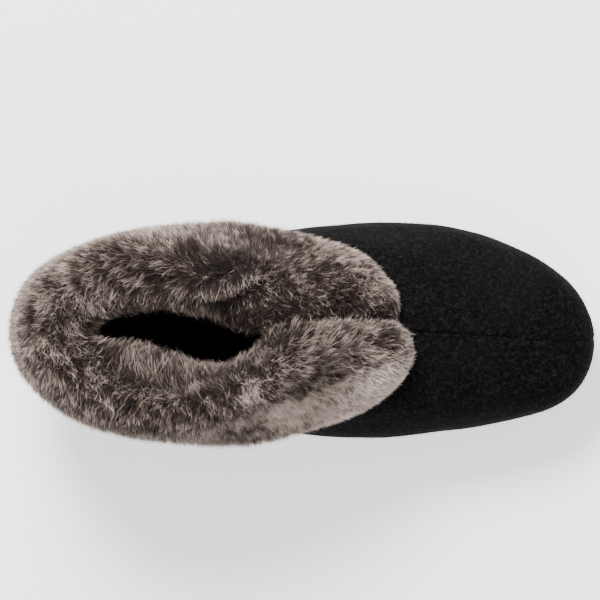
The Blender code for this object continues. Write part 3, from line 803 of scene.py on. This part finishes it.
def fleece_material():
    material, tree, shader = new_material("footbed_fleece", 1.0)
    place = node(tree, "ShaderNodeTexCoord").outputs["Object"]
    curl = node(tree, "ShaderNodeTexVoronoi", {"Vector": place, "Scale": 420.0})
    fuzz = node(tree, "ShaderNodeTexNoise", {"Vector": place, "Scale": 900.0, "Detail": 4.0})
    both = node(tree, "ShaderNodeMix", {0: 0.5, 2: curl.outputs["Distance"], 3: fuzz.outputs["Fac"]})
    colour = ramp(tree, both.outputs[0], ((0.25, (0.006, 0.005, 0.005)), (0.7, (0.03, 0.027, 0.026))))
    tree.links.new(colour, shader.inputs["Base Color"])
    bump = node(tree, "ShaderNodeBump", {"Height": both.outputs[0], "Strength": 1.0, "Distance": 0.0015})
    tree.links.new(bump.outputs[0], shader.inputs["Normal"])
    return material


def dress_sole(material):
    """The sole in the CAD's own shape, with its facets welded, its curved sides smooth and its edges crisp."""
    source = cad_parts["outsole"]
    form = bmesh.new()
    form.from_mesh(source.data)
    bmesh.ops.remove_doubles(form, verts=form.verts, dist=WELD)
    for face in form.faces:
        face.smooth = True
    for edge in form.edges:
        edge.smooth = edge.calc_face_angle(0) < math.radians(CRISP_EDGE)
    mesh = bpy.data.meshes.new("rubber_sole")
    form.to_mesh(mesh)
    form.free()
    if "custom_normal" in mesh.attributes:
        mesh.attributes.remove(mesh.attributes["custom_normal"])
    mesh.materials.clear()
    mesh.materials.append(material)
    piece = bpy.data.objects.new("rubber_sole", mesh)
    piece.matrix_world = source.matrix_world
    bpy.context.scene.collection.objects.link(piece)
    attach(piece, "root")
    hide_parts("outsole")


def ring_faces(rows, columns):
    """Faces between closed rings, the last of which joins the first."""
    faces = []
    for r in range(rows):
        s = (r + 1) % rows
        for c in range(columns):
            d = (c + 1) % columns
            faces.append((r * columns + c, r * columns + d, s * columns + d, s * columns + c))
    return faces


def seam_columns():
    """Turns round the upper, close together beside the seams at toe and heel."""
    close = np.array(SEAM_COLUMNS_AT) / (BALL_WIDTH / 2)
    close = np.concatenate([-close[::-1], [0.0], close])
    between = np.linspace(close[-1] + 0.035, math.pi - close[-1] - 0.035, 108)
    return np.concatenate([close, between, close + math.pi, between + math.pi])


def dress_upper(material):
    """The felt with its seams, slack and dents outside, its wall round the hollow, and its lasted margin."""
    turn = seam_columns()
    outer_rows = np.concatenate([np.linspace(0, WALL_ROW, 13)[:-1], np.linspace(WALL_ROW, TOP_ROW, 78)])
    at_toe = bell(turn, math.pi, 0.25)
    across = np.abs(np.sin(turn)) * BALL_WIDTH / 2
    groove = -SEAM_DEPTH * bell(across, 0, SEAM_WIDTH) + WELT_RISE * bell(across, WELT_PLACE, WELT_WIDTH)
    rings = []
    for row in outer_rows:
        wander = 0.010 * np.sin(row * 1.1 + 0.6) + 0.005 * np.sin(row * 2.9)
        here = turn + at_toe * wander
        points, normal = felt_surface(row, here), felt_normal(row, here)
        fade = ease(row, 3.0, 4.2) * (1 - 0.55 * at_toe * (1 - ease(row, 5.0, 8.5)))
        slack = SLACK * field(points, 0.045, 5) * ease(row, 4.0, 6.0)
        dents = DENTS * field(points, 0.012, 6) * ease(row, 3.0, 4.0)
        rings.append(points + normal * (groove * fade + slack + dents)[:, None])
    for row in np.linspace(TOP_ROW, WALL_ROW, 20):
        rings.append(felt_surface(row, turn) - felt_normal(row, turn) * FELT)
    margin, feather = felt_surface(0, turn), felt_surface(1, turn)
    inward = unit((margin - feather) * (1, 1, 0))
    corner = feather + inward * FELT * 0.7
    corner[:, 2] = feather[:, 2] + FELT
    rings += [corner, margin + (0, 0, FELT)]
    faces = ring_faces(len(rings), len(turn))
    piece = new_mesh_object("felt_upper", np.concatenate(rings), faces, material)
    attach(piece, "root")
    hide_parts("upper")


def fuzz_material():
    """Loose fibres of the felt: the map's U runs from black to dark grey."""
    material, tree, shader = new_material("felt_fibre", 0.9)
    uv = node(tree, "ShaderNodeUVMap", uv_map="OFBake")
    parts = node(tree, "ShaderNodeSeparateXYZ", {0: uv.outputs[0]})
    colour = ramp(tree, parts.outputs["X"], (
        (0.0, (0.002, 0.0018, 0.0018)),
        (0.7, (0.014, 0.013, 0.0125)),
        (1.0, (0.060, 0.056, 0.054)),
    ))
    tree.links.new(colour, shader.inputs["Base Color"])
    shader.inputs["Specular IOR Level"].default_value = 0.2
    return material


def ribbons(name, points, corner, uv, material):
    """One mesh of many small ribbons: points and map places are given for each ribbon's own corners."""
    count, own = points.shape[:2]
    loops = (np.arange(count)[:, None] * own + corner[None, :]).ravel()
    mesh = bpy.data.meshes.new(name)
    mesh.vertices.add(count * own)
    mesh.vertices.foreach_set("co", points.astype(np.float32).ravel())
    mesh.loops.add(len(loops))
    mesh.loops.foreach_set("vertex_index", loops.astype(np.int32))
    mesh.polygons.add(len(loops) // 3)
    mesh.polygons.foreach_set("loop_start", np.arange(0, len(loops), 3, dtype=np.int32))
    mesh.update(calc_edges=True)
    mesh.shade_smooth()
    layer = mesh.uv_layers.new(name="OFBake")
    layer.data.foreach_set("uv", uv[:, corner].reshape(-1, 2).astype(np.float32).ravel())
    mesh.materials.append(material)
    piece = bpy.data.objects.new(name, mesh)
    bpy.context.scene.collection.objects.link(piece)
    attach(piece, "root")


def scatter(surface, count, rng):
    """Fractional rows and columns on a grid of points, evenly spread over its surface."""
    down = np.linalg.norm(np.diff(surface, axis=0), axis=-1)
    across = np.linalg.norm(np.diff(surface, axis=1), axis=-1)
    area = (down[:, :-1] + down[:, 1:]) / 2 * (across[:-1] + across[1:]) / 2
    chances = np.cumsum(area.ravel())
    cell = np.minimum(np.searchsorted(chances, rng.uniform(0, chances[-1], count)), area.size - 1)
    v = cell // area.shape[1] + rng.uniform(0, 1, count)
    u = cell % area.shape[1] + rng.uniform(0, 1, count)
    return v, u


def grow_fuzz(material):
    """Short fibres lying on the felt, each two triangles."""
    rng = np.random.default_rng(41)
    rows, columns = FUZZ_GRID
    row_grid = np.linspace(FUZZ_FROM_ROW, TOP_ROW, rows)
    turn_grid = np.linspace(0, 2 * math.pi, columns)
    v, u = scatter(felt_surface(row_grid[:, None], turn_grid[None, :]), FUZZ_COUNT, rng)
    row, turn = np.interp(v, np.arange(rows), row_grid), np.interp(u, np.arange(columns), turn_grid)
    root, normal = felt_surface(row, turn), felt_normal(row, turn)
    length = rng.uniform(*FUZZ_LENGTHS, FUZZ_COUNT)[:, None]
    flat = unit(lying(rng.normal(size=(FUZZ_COUNT, 3)), normal))
    side = unit(np.cross(normal, flat))
    lift = rng.uniform(0.05, 0.45, FUZZ_COUNT)[:, None]
    middle = root + length * (flat * 0.5 + normal * lift * 0.9)
    tip = middle + length * (unit(flat + 0.5 * side) * 0.5 - normal * lift * 0.3)
    half = side * FUZZ_WIDTH / 2
    points = np.stack([root - normal * 0.0002, middle - half, middle + half, tip], 1)
    tone = rng.beta(1.6, 2.4, FUZZ_COUNT)[:, None]
    uv_u = np.clip(tone + np.array([-0.01, 0.0, 0.01, 0.0])[None, :], 0, 1)
    uv_v = np.broadcast_to(np.array([0.0, 0.5, 0.55, 1.0])[None, :], uv_u.shape)
    ribbons("felt_fibres", points, np.array([0, 1, 2, 1, 3, 2]), np.stack([uv_u, uv_v], -1), material)


def dress_undercoat(skin, pile, material):
    """A dark body under the strands, most of the way up the pile."""
    low, roll, inside = UNDERCOAT_LEVELS
    level = np.concatenate([
        np.linspace(low, roll, PILE_ROWS_OUTSIDE),
        np.full(PILE_ROWS_ROLL, roll),
        np.full(PILE_ROWS_INSIDE, inside),
    ])[:, None, None]
    body = skin + (pile - skin) * level
    rise, _, _ = folds(body.reshape(-1, 3))
    body = body + (pile - skin) / PILE_OUT * rise.reshape(body.shape[:2])[:, :, None]
    rows = np.concatenate([body, skin[::-1][::UNDERCOAT_BACK_STEP]])[:, ::UNDERCOAT_STEP]
    total, count = rows.shape[:2]
    faces = []
    for r in range(total):
        s = (r + 1) % total
        for c in range(count - 1):
            faces.append((r * count + c, r * count + c + 1, s * count + c + 1, s * count + c))
    faces.append(tuple(r * count for r in range(total)))
    faces.append(tuple(r * count + count - 1 for r in reversed(range(total))))
    piece = new_mesh_object("fur_undercoat", rows.reshape(-1, 3), faces, material)
    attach(piece, "root")
    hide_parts("fur_cuff")


def clumps(points, cell, seed):
    """Each point's clump: its centre and a random number, from jittered cubes of one cell.

    The large numbers only scatter the cubes' places into random bits.
    """
    index = np.floor(points / cell).astype(np.int64)
    best = np.full(len(points), np.inf)
    centre = np.zeros_like(points)
    chance = np.zeros(len(points))
    for dx in (-1, 0, 1):
        for dy in (-1, 0, 1):
            for dz in (-1, 0, 1):
                near = index + (dx, dy, dz)
                mixed = near[:, 0] * 73856093 ^ near[:, 1] * 19349663
                mixed = mixed ^ near[:, 2] * 83492791 ^ seed * 2654435761
                spots = []
                for _ in range(4):
                    mixed = (mixed * 6364136223846793005 + 1442695040888963407) & 0x7FFFFFFFFFFFFFFF
                    spots.append(((mixed >> 20) & 0xFFFFF) / 0xFFFFF)
                spot = (near + np.stack(spots[:3], -1)) * cell
                distance = np.sum((points - spot) ** 2, axis=1)
                closer = distance < best
                best[closer], centre[closer], chance[closer] = distance[closer], spot[closer], spots[3][closer]
    return centre, chance


def another(chance, factor):
    """One more random number between -0.5 and 0.5 from a clump's own."""
    return (chance * factor) % 1 - 0.5


def plant(skin, pile):
    """Each strand's root, the top of the pile over it, its directions, its clumps and its zones."""
    v, u = scatter(skin + (pile - skin) * 0.85, STRAND_COUNT, np.random.default_rng(3))
    rows, columns = pile.shape[:2]
    root, top = sample(skin, v, u), sample(pile, v, u)
    height = np.linalg.norm(top - root, axis=1)
    tangent_v = unit(sample(pile, v + 0.6, u) - sample(pile, v - 0.6, u))
    tangent_u = unit(sample(pile, v, u + 1.5) - sample(pile, v, u - 1.5))
    normal = unit(np.cross(tangent_u, tangent_v))
    normal *= np.sign(np.sum(normal * (top - root), axis=1) + 1e-9)[:, None]
    away = unit(top - root + normal * 0.0005)
    rise, fold_painted_light, fold_lean = folds(top)
    top = top + away * rise[:, None]

    up, around = v / (rows - 1), u / (columns - 1)
    roll_start = PILE_ROWS_OUTSIDE / (rows - 1)
    roll_end = (PILE_ROWS_OUTSIDE + PILE_ROWS_ROLL) / (rows - 1)
    outside = 1 - ease(up, roll_start + OUTSIDE_FADE[0], roll_start + OUTSIDE_FADE[1])
    tuft, tuft_chance = clumps(top, TUFT_SIZE, 5)
    lock, lock_chance = clumps(top, LOCK_SIZE, 6)
    return SimpleNamespace(
        many=len(v), root=root, top=top, height=height + rise,
        tangent_v=tangent_v, tangent_u=tangent_u, normal=normal, away=away,
        fold_painted_light=fold_painted_light, fold_lean=fold_lean,
        tuft=tuft, tuft_chance=tuft_chance, lock=lock, lock_chance=lock_chance,
        wide=field(top, 0.020, 21), fine=field(top, 0.007, 22),
        around=around, outside=outside,
        inside=ease(up, roll_end + INSIDE_FADE[0], roll_end + INSIDE_FADE[1]),
        near_outer_end=1 - ease(around, *OUTER_END_ZONE),
        near_inner_end=ease(around, *INNER_END_ZONE),
        at_hem=1 - ease(up, *HEM_ZONE),
        hem_rim_light=1 - ease(up, *HEM_RIM_LIGHT_ZONE),
        rim=outside * (1 - ease(normal[:, 2], *RIM_SLOPE)),
        mouth_edge=bell(up - roll_end, *MOUTH_EDGE),
    )


def lean_strands(s, rng):
    """The lean of the strands along the pelt: combed, hanging at the sides, and astray."""
    comb = np.zeros((s.many, 3))
    comb[:, :2] = combing(s.top)
    comb[:, 2] = -0.55 * s.outside * (1 - ease(s.normal[:, 2], *HANGING_SLOPE))
    stray = 0.23 * rng.normal(size=(s.many, 3))
    stray[:, 0] += 0.36 * another(s.tuft_chance, 5) + 0.38 * another(s.lock_chance, 7)
    stray[:, 1] += 0.36 * another(s.tuft_chance, 11) + 0.38 * another(s.lock_chance, 13)
    stray[:, 2] += 0.30 * another(s.lock_chance, 17)
    stray *= 1 + 0.4 * s.inside[:, None]
    comb = comb + stray + 0.16 * (s.fine[:, None] * s.tangent_u) - 0.55 * (s.at_hem[:, None] * s.tangent_v)
    comb[:, 1] += (0.22 + 0.50 * s.tuft_chance) * s.near_inner_end - 0.30 * s.near_outer_end
    return lying(comb + s.fold_lean, s.normal)


def stretch_strands(s, comb, rng):
    """Where each strand starts and the length that it spans, with ragged edges at mouth, hem and rim."""
    uneven = 0.06 + 0.07 * s.inside + 0.10 * s.mouth_edge
    by_lock = (0.06 + 0.16 * s.inside) * (s.lock_chance - 0.5)
    reach = s.height * (1.0 - 0.09 * s.inside + uneven * rng.normal(size=s.many) + 0.05 * s.wide + by_lock)
    fringe = np.random.default_rng(12).uniform(*FRINGE_CHANCE, s.many)
    reach = reach + s.height * s.rim * np.maximum(fringe, 0)
    shortest = SHORTEST_REACH + 0.0028 * s.at_hem * rng.uniform(0.5, 1.6, s.many)
    longest = (1.12 + 0.25 * s.inside + 0.20 * s.rim) * s.height + 0.001 + 0.004 * s.at_hem
    reach = np.clip(reach, shortest, longest)
    back = reach * 0.50 * (1 - s.at_hem) * (1 - 0.7 * s.near_inner_end)
    span = np.minimum(reach * STRAND_SHARE, LONGEST_STRAND)
    lift = s.height * STRAND_FOOT + reach * STRAND_SHARE - span
    loose = np.maximum(lift - s.height * DEEPEST_ROOT, 0)
    start = s.root + s.away * (lift - loose)[:, None] - comb * back[:, None]
    return start, span + loose


def tone_strands(s, patched, frost_and_rim_light, rng):
    """Tone of each strand from dark brown at 0 to frosted at 1: the fur's own tone with painted light and shade
    laid over it.
    """
    tone = 0.46 + 0.12 * s.wide + 0.20 * s.fine + 0.56 * (s.lock_chance - 0.5) + 0.50 * (s.tuft_chance - 0.5)
    # The patches add the fur's own tone with some painted shade and rim light, and the folds a painted
    # highlight on their ridges and painted shade in their hollows
    tone = tone + 0.30 * rng.normal(size=s.many) + patched + s.fold_painted_light
    # Painted rim light: paler strands on the side-facing rim and towards the hem outside
    tone = tone + 0.08 * s.rim + 0.12 * s.hem_rim_light
    # Painted shadow on the outer end, which runs under the inner one, a faint painted highlight on the inner
    # end's edge, and painted shade on the inside face over the mouth
    tone = tone - 0.24 * s.near_outer_end * (1 - s.rim) + 0.04 * s.near_inner_end - 0.06 * s.inside
    return 0.9 * np.clip(tone, 0.03, 0.97) + 0.11 * frost_and_rim_light


def grow_strands(skin, pile, material):
    """Strands as tapering ribbons. Their map holds their tone and the way from root to tip."""
    rng = np.random.default_rng(11)
    s = plant(skin, pile)
    comb = lean_strands(s, rng)
    start, span = stretch_strands(s, comb, rng)
    width = STRAND_WIDTH * rng.uniform(0.65, 1.35, s.many)
    facing = unit(rng.normal(size=(s.many, 3)) + s.normal * 0.3)
    across = unit(np.cross(facing, s.away + comb))
    patched = np.minimum(patches(s.top), PALEST_PATCH)
    # Where the patches are palest the strands take the frosted colours: the fur's own frosting, and the painted
    # rim light along the inner hem
    frost_and_rim_light = ease(patched, *FROST_AND_RIM_LIGHT_FROM)
    pull, gather = lying(s.lock - s.top, s.normal), lying(s.tuft - s.top, s.normal)
    clumped = (pull * LOCK_PULL + gather * TUFT_PULL) * (1 - 0.35 * frost_and_rim_light)[:, None]
    centres = []
    for t in STRAND_STEPS:
        up = t - 0.16 * t * t
        side = 0.85 * t + 0.40 * t * t
        centre = start + s.away * (span * up * 1.19)[:, None] + comb * (span * side)[:, None]
        centres.append(centre + clumped * t**1.5)
    tone = tone_strands(s, patched, frost_and_rim_light, rng)

    corner = np.array([0, 1, 3, 0, 3, 2, 2, 3, 4])
    along = np.array([0.0, 0.0, 0.55, 0.55, 1.0])
    shift = np.array([-1, 1, -1, 1, 0]) * TONE_SHIFT
    for i in range(STRAND_PIECES):
        pick = np.nonzero((s.around * STRAND_PIECES).astype(int) == i)[0]
        points = np.empty((len(pick), 5, 3))
        for k, taper in enumerate(STRAND_TAPER):
            half = across[pick] * (width[pick] * taper / 2)[:, None]
            points[:, 2 * k] = centres[k][pick] - half
            points[:, 2 * k + 1] = centres[k][pick] + half
        points[:, 4] = centres[2][pick]
        uv_u = tone[pick][:, None] + shift[None, :]
        uv_v = np.broadcast_to(along[None, :], uv_u.shape)
        ribbons(f"fur_strands_{i}", points, corner, np.stack([uv_u, uv_v], -1), material)


def add_area(name, place, size, power):
    data = bpy.data.lights.new(name, "AREA")
    data.shape = "DISK"
    data.size = size
    data.energy = power
    light = bpy.data.objects.new(name, data)
    light.location = place
    towards = np.array(LIGHT_AIM) - np.array(place)
    pitch = math.acos(-towards[2] / np.linalg.norm(towards))
    light.rotation_euler = (pitch, 0, math.atan2(towards[1], towards[0]) - math.pi / 2)
    bpy.context.scene.collection.objects.link(light)


def set_stage():
    mesh = bpy.data.meshes.new("floor")
    mesh.from_pydata([(-4, -4, 0), (4, -4, 0), (4, 4, 0), (-4, 4, 0)], [], [(0, 1, 2, 3)])
    floor = bpy.data.objects.new("floor", mesh)
    bpy.context.scene.collection.objects.link(floor)
    material, _, shader = new_material("pale_floor", 0.9)
    shader.inputs["Base Color"].default_value = (0.93, 0.93, 0.93, 1)
    shader.inputs["Emission Color"].default_value = (1, 1, 1, 1)
    shader.inputs["Emission Strength"].default_value = 1.1
    mesh.materials.append(material)

    world = bpy.data.worlds.new("studio")
    bpy.context.scene.world = world
    world.use_nodes = True
    background = world.node_tree.nodes["Background"]
    background.inputs["Color"].default_value = (1, 1, 1, 1)
    background.inputs["Strength"].default_value = 0.55
    add_area("key", place=(-0.4, 1.2, 1.6), size=0.8, power=98)
    add_area("fill", place=(0.9, -0.8, 1.4), size=1.4, power=10)


def set_camera():
    data = bpy.data.cameras.new("camera")
    camera = bpy.data.objects.new("camera", data)
    bpy.context.scene.collection.objects.link(camera)
    data.sensor_width = SENSOR
    data.lens = SENSOR * (CAMERA_HEIGHT - SCALE_LEVEL) / (PICTURE * PIXEL)
    data.clip_start = 0.1
    camera.location = (*CAMERA_OVER, CAMERA_HEIGHT)
    camera.rotation_euler = (0, 0, 0)
    bpy.context.scene.camera = camera


set_camera()
set_stage()
dress_upper(felt_material())
grow_fuzz(fuzz_material())
skin_grid, pile_grid = pile_grids()
dress_undercoat(skin_grid, pile_grid, undercoat_material())
grow_strands(skin_grid, pile_grid, fur_material())
dress_sole(rubber_material())
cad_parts["insole"].data.materials[0] = fleece_material()
